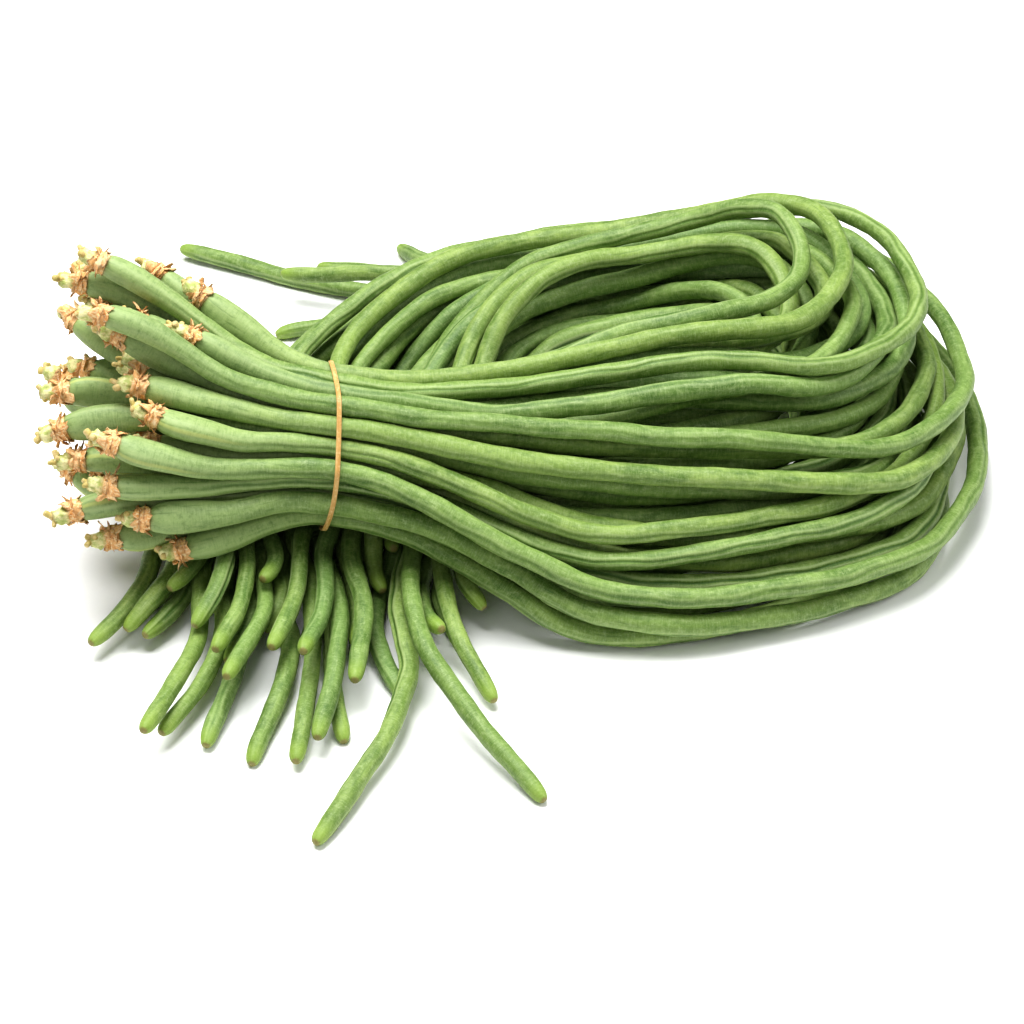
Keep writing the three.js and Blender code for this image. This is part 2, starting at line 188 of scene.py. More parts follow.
# Colours of the calyx
PAPER_BROWN = (0.620, 0.250, 0.055, 1)
PAPER_ORANGE = (0.840, 0.480, 0.180, 1)
VEIN_CREAM = (0.900, 0.740, 0.450, 1)
SPECK_BROWN = (0.260, 0.085, 0.020, 1)
FADED_PAPER = (0.820, 0.620, 0.360, 1)
TORN_BROWN = (0.160, 0.055, 0.012, 1)

# Colours of the band and the floor
RUBBER_BROWN = (0.49, 0.27, 0.07, 1)
RUBBER_TAN = (0.63, 0.39, 0.14, 1)
DUST_TAN = (0.76, 0.56, 0.31, 1)
FLOOR_GREY = (0.93, 0.93, 0.93, 1)
FLOOR_WHITE = (0.97, 0.97, 0.97, 1)

# The studio
FLOOR_HALF = 4
LIGHT_TARGET = (0, 0, 0.03)
CAMERA_TARGET = Vector((-0.0037, 0.0027, 0))
CAMERA_TILT = math.radians(36)
CAMERA_DISTANCE = 1.1
CAMERA_LENS = 123.6


# Lines of points
def distances(points):
    """Distance of each point along a line."""
    return np.concatenate([[0], np.cumsum(np.linalg.norm(np.diff(points, axis=0), axis=1))])


def unit(vectors):
    """Vectors scaled to length one."""
    return vectors / np.linalg.norm(vectors, axis=-1, keepdims=True)


def fade(values, low, high):
    """Smooth rise from 0 at low to 1 at high."""
    t = np.clip((values - low) / (high - low), 0, 1)
    return t * t * (3 - 2 * t)


def wave(stations, length, phase):
    """Gentle wave along a line."""
    return np.sin(2 * math.pi * stations / length + phase)


def along_line(values, places, stations):
    """Values given at places on a line, read at its stations."""
    return np.stack([np.interp(stations, places, values[:, c]) for c in range(values.shape[1])], axis=1)


def point_at(line, place):
    """The point of a line at a distance from its start."""
    return along_line(line, distances(line), np.array([place]))[0]


def smooth_line(knots):
    """Evenly spaced points on a smooth curve through the knots."""
    places = distances(knots)
    slopes = np.gradient(knots, places, axis=0)
    samples = np.linspace(0, places[-1], 6 * int(places[-1] / LINE_STEP))
    k = np.clip(np.searchsorted(places, samples, side="right") - 1, 0, len(places) - 2)
    gap = (places[k + 1] - places[k])[:, None]
    u = (samples - places[k])[:, None] / gap
    curve = knots[k] * (2 * u**3 - 3 * u**2 + 1) + slopes[k] * gap * (u**3 - 2 * u**2 + u)
    curve += knots[k + 1] * (3 * u**2 - 2 * u**3) + slopes[k + 1] * gap * (u**3 - u**2)
    length = distances(curve)
    return along_line(curve, length, np.linspace(0, length[-1], int(length[-1] / LINE_STEP) + 1))


def wandering(line):
    """The line with the small kinks of a real pod."""
    places = distances(line)
    free = KINK * fade(places, 30 * MM, 70 * MM)
    turn = RNG.uniform(0, TURN)
    for axis in (0, 1, 2):
        near = wave(places, RNG.uniform(0.030, 0.042), turn + 2 * axis)
        far = wave(places, RNG.uniform(0.055, 0.085), 3 * turn + axis)
        line[:, axis] += free * (0.4 * near + 0.6 * far)
    return line


def evened(amounts, rounds):
    """Amounts evened out along a line."""
    for _ in range(rounds):
        amounts[1:-1] = (amounts[:-2] + 2 * amounts[1:-1] + amounts[2:]) / 4
    return amounts


# Reading the solids
def welded(mesh):
    """Places of a mesh's points, and the neighbours of each."""
    spots = {}
    index = [spots.setdefault(tuple(round(c * 1e6) for c in v.co), len(spots)) for v in mesh.vertices]
    neighbours = [set() for _ in spots]
    for edge in mesh.edges:
        a, b = (index[v] for v in edge.vertices)
        if a != b:
            neighbours[a].add(b)
            neighbours[b].add(a)
    return np.array(list(spots)) * 1e-6, neighbours


def rings_from(start, neighbours):
    """Points of a tube, ring by ring, from one of them."""
    rings = []
    seen = {start}
    ring = [start]
    while ring:
        rings.append(ring)
        ring = sorted({n for p in ring for n in neighbours[p]} - seen)
        seen.update(ring)
    return rings


def bean_knots(name):
    """Centres of a bean's rings from its stem, and the direction in which its shoulder is widest."""
    points, neighbours = welded(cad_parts[name].data)
    end = rings_from(0, neighbours)[-1][0]
    rings = rings_from(end, neighbours)
    centres = np.array([points[ring].mean(axis=0) for ring in rings])
    if np.linalg.norm(points[rings[3]] - centres[3], axis=1).mean() > THIN_STEM:
        rings = rings[::-1]
        centres = centres[::-1]
    shoulder = int(np.argmin(abs(distances(centres) - SHOULDER)))
    spokes = points[rings[shoulder]] - centres[shoulder]
    return centres, spokes[np.argmax(np.linalg.norm(spokes, axis=1))]


# The lines of the beans
def bean_sizes(stations, length):
    """Seam side, other side and half-thickness of a bean at each station."""
    start = np.array(START_SHAPE) * MM
    tip = np.array(TIP_SHAPE) * MM
    from_start = along_line(start[:, 1:], start[:, 0], stations)
    from_tip = along_line(tip[:, 1:], tip[:, 0], length - stations)
    return np.where((stations < length / 2)[:, None], from_start, from_tip)


def overlap_push(points, radius, owner):
    """Way in which each point has to move to clear the points of other beans."""
    tree = KDTree(len(points))
    for i, p in enumerate(points):
        tree.insert(p, i)
    tree.balance()
    push = np.zeros_like(points)
    for i, p in enumerate(points):
        for q, j, apart in tree.find_range(p, 2.2 * POD_RADIUS):
            overlap = radius[i] + radius[j] - apart
            if owner[j] != owner[i] and overlap > 0:
                push[i] += (p - q) / max(apart, MM) * overlap * PUSH_SHARE
    return push


def push_apart(lines, rounds):
    """Lines moved a little, until the pods on them lie side by side."""
    owner = np.concatenate([np.full(len(line), i) for i, line in enumerate(lines)])
    radius = np.concatenate([bean_sizes(distances(line), distances(line)[-1])[:, 2] for line in lines])
    ends = np.cumsum([0] + [len(line) for line in lines])
    points = np.concatenate(lines)
    for _ in range(rounds):
        push = overlap_push(points, radius, owner)
        for a, b in zip(ends[:-1], ends[1:]):
            points[a:b] += evened(push[a:b], 4)
        points[:, 2] = np.maximum(points[:, 2], radius)
    return [evened(points[a:b].copy(), 3) for a, b in zip(ends[:-1], ends[1:])]


# Meshes
class Parts:
    """Points, faces and the values on them, gathered for one mesh."""

    def __init__(self):
        self.points, self.place, self.ends, self.faces, self.materials = [], [], [], [], []
        self.count = 0

    def add(self, points, faces, place, ends, materials):
        """Adds points with their values, and faces of one material each."""
        points[:, 2] = np.maximum(points[:, 2], FLOOR_GAP)
        self.points.append(points)
        self.place.append(place)
        self.ends.append(ends)
        self.faces += [tuple(v + self.count for v in face) for face in faces]
        self.materials += materials
        self.count += len(points)

    def build(self, name, materials):
        """The mesh as an object."""
        mesh = bpy.data.meshes.new(name)
        mesh.from_pydata(np.concatenate(self.points).tolist(), [], self.faces)
        for label, values in (("place", self.place), ("ends", self.ends)):
            layer = mesh.attributes.new(label, "FLOAT_VECTOR", "POINT")
            layer.data.foreach_set("vector", np.concatenate(values).ravel())
        for material in materials:
            mesh.materials.append(material)
        mesh.polygons.foreach_set("material_index", self.materials)
        mesh.polygons.foreach_set("use_smooth", [True] * len(mesh.polygons))
        obj = bpy.data.objects.new(name, mesh)
        bpy.context.scene.collection.objects.link(obj)
        return obj


def tube_faces(rings, columns):
    """Faces of a tube of rings with a point at each end, and the ring that each face starts at."""
    first, last = rings * columns, rings * columns + 1
    faces, owners = [], []
    for j in range(columns):
        k = (j + 1) % columns
        faces.append((first, k, j))
        owners.append(0)
        for i in range(rings - 1):
            a, b = i * columns, (i + 1) * columns
            faces.append((a + j, a + k, b + k, b + j))
            owners.append(i)
        top = (rings - 1) * columns
        faces.append((last, top + j, top + k))
        owners.append(rings - 1)
    return faces, owners


def ring_faces(rings, columns):
    """Faces of a tube whose last ring meets its first."""
    faces = []
    for i in range(rings):
        a, b = i * columns, (i + 1) % rings * columns
        for j in range(columns):
            k = (j + 1) % columns
            faces.append((a + j, a + k, b + k, b + j))
    return faces


def sheet_faces(rows, columns):
    """Faces of a closed thin sheet, whose back follows its front in the list of points."""
    half = rows * columns
    faces = []
    for i in range(rows - 1):
        for j in range(columns - 1):
            a = i * columns + j
            quad = (a, a + 1, a + columns + 1, a + columns)
            faces += [quad, tuple(v + half for v in reversed(quad))]
    rim = list(range(columns)) + [i * columns + columns - 1 for i in range(1, rows)]
    rim += [half - 1 - j for j in range(1, columns)] + [i * columns for i in range(rows - 2, 0, -1)]
    for a, b in zip(rim, rim[1:] + rim[:1]):
        faces.append((b, a, a + half, b + half))
    return faces


# The body of a bean
def frames_along(line, across):
    """Directions along a line and square to it, from the way its shoulder faces."""
    tangents = unit(np.gradient(line, axis=0))
    normal = across
    normals = []
    for tangent in tangents:
        normal = unit(normal - tangent * np.dot(normal, tangent))
        normals.append(normal)
    normals = np.array(normals)
    return tangents, normals, np.cross(tangents, normals)


def ring_axes(line, across, stations, twist):
    """Centres of a bean's rings, with the directions of their seam and of the side square to it."""
    _, normals, sides = frames_along(line, across)
    places = distances(line)
    centres = along_line(line, places, stations)
    normals = unit(along_line(normals, places, stations))
    sides = unit(along_line(sides, places, stations))
    turn = (twist * fade(stations, 45 * MM, places[-1]))[:, None]
    up = normals * np.cos(turn) + sides * np.sin(turn)
    side = sides * np.cos(turn) - normals * np.sin(turn)
    return centres, up, side


def bean_stations(length):
    """Distances of a bean's rings, closer together at its ends."""
    tip = length - TIP_RINGS
    middle = np.linspace(STEM_RINGS[-1], tip[0], int((tip[0] - STEM_RINGS[-1]) / RING_STEP))
    return np.concatenate([STEM_RINGS, middle[1:-1], tip])


def seam_angles(stations, traits):
    """Angle of each point from the seam side, whose line wanders along the pod."""
    sway = 0.13 * wave(stations, 0.041, 5 * traits.phase)
    sway += 0.07 * wave(stations, 0.0173, traits.phase)
    return ANGLES[None, :] - (sway * fade(stations, 24 * MM, 60 * MM))[:, None]


def bulges(stations, traits):
    """Swelling of the pod at its seeds and between them, and over longer stretches."""
    swelling = wave(stations, traits.seed, traits.phase) * 0.026
    swelling += wave(stations, traits.seed * 0.43, 2 * traits.phase) * 0.014
    swelling += wave(stations, 0.11, 3 * traits.phase) * 0.040
    return swelling[:, None]


def grooved(radii, stations, traits, pod):
    """Radii with a groove along each seam and a ridge on both sides of it, fainter in places."""
    strength = (0.65 + 0.35 * wave(stations, 0.093, traits.phase))[:, None] * pod
    angles = seam_angles(stations, traits)
    for seam, depth in ((0, traits.groove), (math.pi, 0.6 * traits.groove)):
        away = abs((angles - seam + math.pi) % (2 * math.pi) - math.pi)
        radii -= np.exp(-((away / GROOVE_WIDTH) ** 2)) * depth * strength
        radii += np.exp(-(((away - RIDGE_PLACE) / RIDGE_WIDTH) ** 2)) * RIDGE_SHARE * depth * strength
    return radii


def bean_radii(stations, length, traits):
    """Distance of the surface from the centre line, for each station and angle."""
    seam, other, thick = (column[:, None] for column in bean_sizes(stations, length).T)
    cos, sin = np.cos(ANGLES)[None, :], np.sin(ANGLES)[None, :]
    wide = np.where(cos > 0, seam, other)
    radii = 1 / np.sqrt((cos / wide) ** 2 + (sin / thick) ** 2)
    pod = (fade(stations, 18 * MM, 50 * MM) * fade(length - stations, 2 * MM, 12 * MM))[:, None]
    radii = radii * (1 + bulges(stations, traits) * pod) * (1 + (traits.girth - 1) * pod)
    radii = grooved(radii, stations, traits, pod)
    lobes = np.sin(3 * ANGLES[None, :] + (stations / 0.05 + traits.phase)[:, None])
    return radii * (1 + 0.018 * lobes * pod)


def lumps(place, shape, grain):
    """Uneven lumps from about -1 to 1, over points in the shape of a grid."""
    values = [noise.noise(Vector(p * grain)) + 0.5 * noise.noise(Vector(p * grain * 2.4)) for p in place]
    return np.array(values).reshape(shape)


def roughened(radii, place, stations):
    """A bean's radii with knobs on its stem and pleats on its calyx."""
    near = stations < 12 * MM
    at = stations[near]
    shape = radii[near].shape
    spots = place[: shape[0] * shape[1]]
    stem = (1 - fade(at, 4.6 * MM, 5.4 * MM))[:, None]
    ruff = (fade(at, 4.8 * MM, 5.8 * MM) * fade(-at, -9.2 * MM, -8.4 * MM))[:, None]
    radii[near] *= 1 + KNOB_HEIGHT * stem * lumps(spots, shape, KNOB_GRAIN)
    radii[near] *= 1 + PLEAT_HEIGHT * ruff * lumps(spots, shape, PLEAT_GRAIN)
    return radii


def skin_places(stations, traits):
    """Place of each point on a straight bean in millimetres, for the patterns of its skin."""
    angles = seam_angles(stations, traits)
    place = np.zeros((*angles.shape, 3))
    place[..., 0] = POD_RADIUS / MM * np.cos(angles)
    place[..., 1] = POD_RADIUS / MM * np.sin(angles)
    place[..., 2] = (stations / MM)[:, None] + traits.shift
    return place.reshape(-1, 3)


def add_bean_body(parts, line, across, traits):
    """The stem and pod in one skin."""
    length = distances(line)[-1]
    stations = bean_stations(length)
    centres, up, side = ring_axes(line, across, stations, traits.twist)
    place = skin_places(stations, traits)
    radii = roughened(bean_radii(stations, length, traits), place, stations)
    spokes = up[:, None] * np.cos(ANGLES)[None, :, None] + side[:, None] * np.sin(ANGLES)[None, :, None]
    points = (centres[:, None] + spokes * radii[..., None]).reshape(-1, 3)
    points = np.vstack([points, line[0], line[-1]])
    place = np.vstack([place, [0, 0, traits.shift], [0, 0, length / MM + traits.shift]])
    at = np.concatenate([np.repeat(stations, len(ANGLES)), [0, length]])
    ends = np.stack([at / MM, (length - at) / MM, np.full(len(at), traits.tone)], axis=1)
    faces, owners = tube_faces(*radii.shape)
    calyx_or_pod = np.where(stations < CALYX_END, CALYX_SKIN, POD_SKIN)
    skin = np.where(stations < CALYX_START, STEM_SKIN, calyx_or_pod)
    parts.add(points, faces, place, ends, [int(skin[i]) for i in owners])


# Stubs and calyx
def add_spur(parts, base, direction, length, radius, shift):
    """Short stub of a flower stalk."""
    heading = unit(direction)
    first = unit(np.cross(heading, [0.3, 0.2, 1.0]))
    second = np.cross(heading, first)
    angles = np.linspace(0, 2 * math.pi, SPUR_COLUMNS, endpoint=False)[:, None]
    ring = first * np.cos(angles) + second * np.sin(angles)
    rows = [base + heading * height * length + ring * radius * width for height, width in SPUR_PROFILE]
    points = np.vstack(rows + [base[None], (base + heading * length)[None]])
    faces, _ = tube_faces(len(rows), SPUR_COLUMNS)
    ends = np.full((len(points), 3), SPUR_ENDS)
    parts.add(points, faces, points / MM + shift, ends, [STEM_SKIN] * len(faces))


def add_spurs(parts, line):
    """Stubs of flower stalks near the cut end."""
    heading = unit(line[0] - point_at(line, 6 * MM))
    for _ in range(RNG.randint(3, 4)):
        base = point_at(line, RNG.uniform(0.5, 3.5) * MM)
        away = unit(np.array([RNG.uniform(-1, 1), RNG.uniform(-1, 1), RNG.uniform(-0.6, 1)]))
        direction = unit(away - heading * np.dot(away, heading) + heading * RNG.uniform(0.3, 1.2))
        length = RNG.uniform(2.6, 3.8) * MM
        radius = RNG.uniform(0.8, 1.3) * MM
        add_spur(parts, base, direction, length, radius, RNG.uniform(0, 90))


def add_lobe(parts, foot, axes, lobe):
    """Papery lobe of the calyx, with a ragged end and a crumpled sheet."""
    along, up, side = axes
    fronts, backs, place, ends = [], [], [], []
    for i in range(LOBE_ROWS):
        v = i / (LOBE_ROWS - 1)
        for j in range(LOBE_COLUMNS):
            u = 2 * j / (LOBE_COLUMNS - 1) - 1
            ragged = 0.8 + 0.8 * noise.noise(Vector((u * 1.9, lobe.shift, 0)))
            reach = lobe.length * v * ragged * (1 - 0.3 * u * u)
            crumple = 0.9 * MM * noise.noise(Vector((u * 1.3, v * 1.8, lobe.shift * 3.1))) * (0.3 + v)
            angle = lobe.angle + lobe.spread * u * (1 - 0.35 * v)
            out = LOBE_RADIUS + reach * math.sin(lobe.lean + lobe.curl * v) + crumple
            ray = up * math.cos(angle) + side * math.sin(angle)
            centre = foot + along * reach * math.cos(lobe.lean + lobe.curl * v)
            fronts.append(centre + ray * (out + LOBE_THICKNESS / 2))
            backs.append(centre + ray * (out - LOBE_THICKNESS / 2))
            place.append((u * 2, v * 4, lobe.shift))
            ends.append((v, abs(u), lobe.shift % 1))
    faces = sheet_faces(LOBE_ROWS, LOBE_COLUMNS)
    skins = [CALYX_SKIN] * len(faces)
    parts.add(np.array(fronts + backs), faces, np.array(place * 2), np.array(ends * 2), skins)


def add_calyx(parts, line, across):
    """Dry lobes round the foot of the pod, some leaning over it and some back over the stem."""
    tangents, normals, sides = frames_along(line, across)
    k = int(np.searchsorted(distances(line), CALYX_END))
    axes = (tangents[k], normals[k], sides[k])
    for at, count, length, lean, curl in LOBE_ROUNDS:
        start = RNG.uniform(0, TURN)
        for i in range(count):
            foot = point_at(line, (at + RNG.uniform(-0.8, 0.6)) * MM)
            lobe = SimpleNamespace(
                angle=start + 2 * math.pi * (i + RNG.uniform(-0.25, 0.25)) / count,
                length=length * MM * RNG.uniform(0.5, 1.4),
                lean=lean + RNG.uniform(-0.3, 0.3),
                curl=curl * RNG.uniform(-0.6, 1.3),
                spread=RNG.uniform(0.42, 0.75),
                shift=RNG.uniform(0, 90),
            )
            add_lobe(parts, foot, axes, lobe)


# A whole bean
def seam_share(tone):
    """Depth of a bean's seams from its tone, as a share of the deepest."""
    return (SEAM_LEAST + (1 - SEAM_LEAST) * (tone * SEAM_TONE % 1)) ** SEAM_POWER


def bean_traits():
    """What sets one bean apart from the others."""
    tone = RNG.uniform(0, 1)
    return SimpleNamespace(
        seed=RNG.uniform(0.015, 0.021),
        phase=RNG.uniform(0, TURN),
        girth=RNG.uniform(0.94, 1.04),
        groove=SEAM_DEPTH * seam_share(tone),
        twist=RNG.uniform(-3.5, 3.5),
        tone=tone,
        shift=RNG.uniform(0, 5000),
    )


def make_bean(name, line, across, materials):
    """One bean with its stem and calyx, in the place of its solid."""
    parts = Parts()
    add_bean_body(parts, line, across, bean_traits())
    add_spurs(parts, line)
    add_calyx(parts, line, across)
    bean = parts.build(name + "_pod", materials)
    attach(bean, "root")
    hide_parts(name)


# The band
def band_plane():
    """Middle of the band's solid, the band's own direction, and two more square to it."""
    solid = np.array([v.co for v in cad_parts["rubber_band"].data.vertices])
    middle = solid.mean(axis=0)
    axis = np.linalg.svd(solid - middle, full_matrices=False)[2][2]
    axis = axis * math.copysign(1, axis[0])
    first = unit(np.cross(axis, [0, 0, 1.0]))
    return solid, middle, axis, first, np.cross(axis, first)


def band_outline(lines):
    """Loop round the pods that pass through the band's solid, and the band's own direction."""
    solid, middle, axis, first, second = band_plane()
    flat = np.stack([(solid - middle) @ first, (solid - middle) @ second], axis=1)
    angles = np.linspace(0, 2 * math.pi, BAND_RAYS, endpoint=False)
    rays = np.stack([np.cos(angles), np.sin(angles)], axis=1)
    limit = (flat @ rays.T).max(axis=0)
    held = []
    for line in lines:
        height = (line - middle) @ axis
        for i in np.nonzero(height[:-1] * height[1:] <= 0)[0]:
            t = height[i] / (height[i] - height[i + 1])
            p = line[i] + (line[i + 1] - line[i]) * t - middle
            spot = np.array([p @ first, p @ second])
            if (rays @ spot <= limit).all():
                held.append(spot)
    held = np.array(held)
    outer = np.argmax(rays @ held.T, axis=1)
    loop = held[outer] + rays * (POD_RADIUS * BAND_GRIP + BAND_THICKNESS / 2)
    return middle + loop[:, :1] * first + loop[:, 1:] * second, axis


def band_rings(loop, axis):
    """Evenly spaced centres round a loop, the way out at each, and the loop's length."""
    closed = np.vstack([loop, loop[:1]])
    places = distances(closed)
    centres = along_line(closed, places, np.linspace(0, places[-1], BAND_RINGS, endpoint=False))
    for _ in range(4):
        centres = (np.roll(centres, 1, axis=0) + 2 * centres + np.roll(centres, -1, axis=0)) / 4
    tangents = unit(np.roll(centres, -1, axis=0) - np.roll(centres, 1, axis=0))
    outward = unit(np.cross(tangents, axis))
    if np.sum(outward * (centres - centres.mean(axis=0))) < 0:
        outward = -outward
    return centres, outward, places[-1]


def soft_edged(side, size):
    """Place on one side of a rectangle with soft corners."""
    return math.copysign(abs(side) ** 0.6, side) * size / 2


def make_band(lines, material):
    """The rubber band, a soft-edged strip round the neck of the bunch."""
    loop, axis = band_outline(lines)
    centres, outward, length = band_rings(loop, axis)
    height = centres[:, 1] * 0.6 + centres[:, 2] * 0.8
    slide = BAND_SLIDE * ((height.max() - height) / np.ptp(height)) ** 6
    points, place = [], []
    for i in range(BAND_RINGS):
        slip = axis * (BAND_WAVE * math.sin(i / BAND_RINGS * TURN * 3) - slide[i])
        for j in range(BAND_COLUMNS):
            a = 2 * math.pi * j / BAND_COLUMNS
            x = soft_edged(math.cos(a), BAND_THICKNESS)
            y = soft_edged(math.sin(a), BAND_WIDTH)
            points.append(centres[i] + outward[i] * (x + NECK_FLARE * slide[i]) + axis * y + slip)
            place.append((x / MM, y / MM, i / BAND_RINGS * length / MM))
    faces = ring_faces(BAND_RINGS, BAND_COLUMNS)
    parts = Parts()
    parts.add(np.array(points), faces, np.array(place), np.array(place), [0] * len(faces))
    band = parts.build("rubber_band_loop", [material])
    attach(band, "root")
    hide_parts("rubber_band")


# Materials
class Nodes:
    """A material and short ways to wire its nodes."""

    def __init__(self, name):
        self.material = bpy.data.materials.new(name)
        self.material.use_nodes = True
        self.tree = self.material.node_tree
        self.shader = self.tree.nodes["Principled BSDF"]

    def add(self, kind, inputs=None, **settings):
        """A node with its settings and the values or links of its inputs."""
        node = self.tree.nodes.new(kind)
        for key, value in settings.items():
            setattr(node, key, value)
        for key, value in (inputs or {}).items():
            self.set(node.inputs[key], value)
        return node

    def set(self, socket, value):
        """A link into a socket, or a constant on it."""
        if isinstance(value, bpy.types.NodeSocket):
            self.tree.links.new(value, socket)
        else:
            socket.default_value = value

    def attribute(self, name):
        """A value carried by the mesh."""
        node = self.add("ShaderNodeAttribute", attribute_name=name, attribute_type="GEOMETRY")
        return node.outputs["Vector"]

    def split(self, vector):
        """The three parts of a vector."""
        return self.add("ShaderNodeSeparateXYZ", {0: vector}).outputs

    def math(self, operation, a, b=0.0):
        """Arithmetic of two numbers."""
        return self.add("ShaderNodeMath", {0: a, 1: b}, operation=operation).outputs[0]

    def product(self, first, *others):
        """Numbers multiplied."""
        for other in others:
            first = self.math("MULTIPLY", first, other)
        return first

    def uneven(self, value, pattern, amount):
        """A value with some of a pattern added."""
        return self.math("ADD", value, self.math("MULTIPLY", pattern, amount))

    def noise(self, vector, scale, detail=3.0, rough=0.55):
        """Noise from 0 to 1, with one scale or one for each direction."""
        if isinstance(scale, tuple):
            stretched = {0: vector, 1: scale}
            vector = self.add("ShaderNodeVectorMath", stretched, operation="MULTIPLY").outputs[0]
            scale = 1.0
        inputs = {"Vector": vector, "Scale": scale, "Detail": detail, "Roughness": rough}
        return self.add("ShaderNodeTexNoise", inputs).outputs[0]

    def rise(self, value, low, high):
        """Smooth step from 0 at low to 1 at high."""
        inputs = {"Value": value, "From Min": low, "From Max": high}
        return self.add("ShaderNodeMapRange", inputs, interpolation_type="SMOOTHSTEP").outputs[0]

    def mix(self, amount, a, b, mode="MIX"):
        """Two colours mixed."""
        node = self.add("ShaderNodeMix", data_type="RGBA", blend_type=mode)
        self.set(node.inputs[0], amount)
        self.set(node.inputs[6], a)
        self.set(node.inputs[7], b)
        return node.outputs[2]

    def layered(self, color, *layers):
        """A colour with others laid over it, each given by where it lies, its strength and its colour."""
        for mask, strength, over in layers:
            color = self.mix(self.product(mask, strength), color, over)
        return color

    def finish(self, color, roughness, height, strength, distance):
        """Colour, roughness and bump on the shader."""
        self.set(self.shader.inputs["Base Color"], color)
        self.set(self.shader.inputs["Roughness"], roughness)
        inputs = {"Height": height, "Strength": strength, "Distance": distance}
        bump = self.add("ShaderNodeBump", inputs)
        self.set(self.shader.inputs["Normal"], bump.outputs[0])
        return self.material


def pod_patterns(n):
    """Places on the pod in millimetres, its tone, and the patterns of its skin."""
    place = n.attribute("place")
    x, y, _ = n.split(place)
    start, tip, tone = n.split(n.attribute("ends"))
    return SimpleNamespace(
        x=x,
        y=y,
        start=start,
        tip=tip,
        tone=tone,
        lines=n.noise(place, (0.34, 0.34, 2.3), 3.0, 0.6),
        streaks=n.noise(place, (0.95, 0.95, 0.07), 3.0, 0.6),
        patches=n.noise(place, (0.25, 0.25, 0.09), 4.0, 0.6),
        clouds=n.noise(place, (0.05, 0.05, 0.014), 1.0),
        flecks=n.noise(place, (0.7, 0.7, 0.45), 5.0, 0.72),
        grains=n.noise(place, 2.2, 3.0, 0.65),
    )


def mottled_green(n, p):
    """The pod's green, soft in patches, cooler or warmer from bean to bean, and pale at the shoulder."""
    green = n.mix(n.rise(p.patches, 0.32, 0.70), DEEP_GREEN, SOFT_GREEN)
    green = n.layered(green, (n.rise(p.clouds, 0.42, 0.66), 0.7, MIDDLE_GREEN))
    green = n.mix(1.0, green, n.mix(p.tone, COOL_CAST, WARM_CAST), "MULTIPLY")
    return n.layered(green, (n.rise(p.start, 80.0, 12.0), 0.60, SHOULDER_GREEN))


def finely_marked(n, p, green):
    """The green with cross lines, grains, streaks and flecks, and where the pale lines are."""
    lined = n.rise(p.start, 9.0, 20.0)
    pale = n.product(n.rise(p.lines, 0.45, 0.70), lined)
    dark = n.product(n.rise(p.lines, 0.48, 0.30), lined)
    green = n.layered(
        green,
        (pale, 0.24, PALE_GREEN),
        (dark, 0.22, DARK_GREEN),
        (n.rise(p.grains, 0.54, 0.72), 0.38, PALE_GREEN),
        (n.rise(p.streaks, 0.54, 0.74), 0.28, PALE_GREEN),
        (n.rise(p.streaks, 0.44, 0.28), 0.40, DARK_GREEN),
        (n.rise(p.flecks, 0.50, 0.72), 0.42, DARK_GREEN),
        (n.rise(p.flecks, 0.50, 0.30), 0.42, PALE_GREEN),
    )
    return green, pale


def seamed_with_painted_light(n, p, green):
    """The green with seams of their own deep green deepened by painted shade in the grooves, painted
    highlights on the ridges beside them and a yellow shoulder edge, and where the seams are.
    """
    part = n.product(n.math("FRACT", n.product(p.tone, SEAM_TONE)), 1 - SEAM_LEAST)
    depth = n.math("POWER", n.math("ADD", SEAM_LEAST, part), SEAM_POWER)
    off = n.math("ABSOLUTE", p.y)
    near = n.math("ABSOLUTE", p.x)
    # The seam mask lays the seam's own deep green together with painted shade in its groove; the ridge mask
    # lays a painted highlight on the ridges beside it.
    seam = n.product(n.rise(off, 0.62, 0.10), n.rise(p.start, 22.0, 44.0), n.rise(near, 2.0, 2.7), depth)
    ridge = n.product(n.rise(off, 1.8, 1.15), n.rise(off, 0.5, 1.05), n.rise(near, 1.6, 2.5), depth)
    edge = n.product(n.rise(off, 0.55, 0.12), n.rise(p.start, 40.0, 22.0), n.rise(p.x, 1.6, 2.8))
    green = n.layered(green, (ridge, 0.6, PALE_GREEN), (seam, 0.8, DARK_GREEN), (edge, 0.4, EDGE_YELLOW))
    return green, seam


def with_ends(n, p, green):
    """The green with a brown foot at the calyx, a bright tip and a brown dot at its end."""
    foot = n.rise(n.uneven(p.start, p.grains, 1.2), 10.2, 9.4)
    bright = n.rise(n.uneven(p.tip, p.patches, 7.0), 12.5, 4.5)
    dot = n.rise(n.uneven(p.tip, p.grains, 1.6), 1.5, 0.8)
    return n.layered(green, (foot, 0.8, FOOT_BROWN), (bright, 0.52, TIP_GREEN), (dot, 0.75, DOT_BROWN))


def pod_material():
    """Velvety green skin with fine marks, seams darkened by their own deep green and by painted shade in
    their grooves, painted highlights on their ridges, and a bright tip.
    """
    n = Nodes("bean_skin")
    p = pod_patterns(n)
    green, pale = finely_marked(n, p, mottled_green(n, p))
    green, seam = seamed_with_painted_light(n, p, green)
    green = with_ends(n, p, green)
    height = n.uneven(n.product(pale, 0.3), p.grains, 0.5)
    height = n.uneven(height, p.streaks, 0.6)
    height = n.uneven(height, seam, -0.9)
    rough = n.uneven(0.48, p.patches, 0.18)
    n.shader.inputs["Specular IOR Level"].default_value = 0.45
    return n.finish(green, rough, height, 0.5, 0.25 * MM)


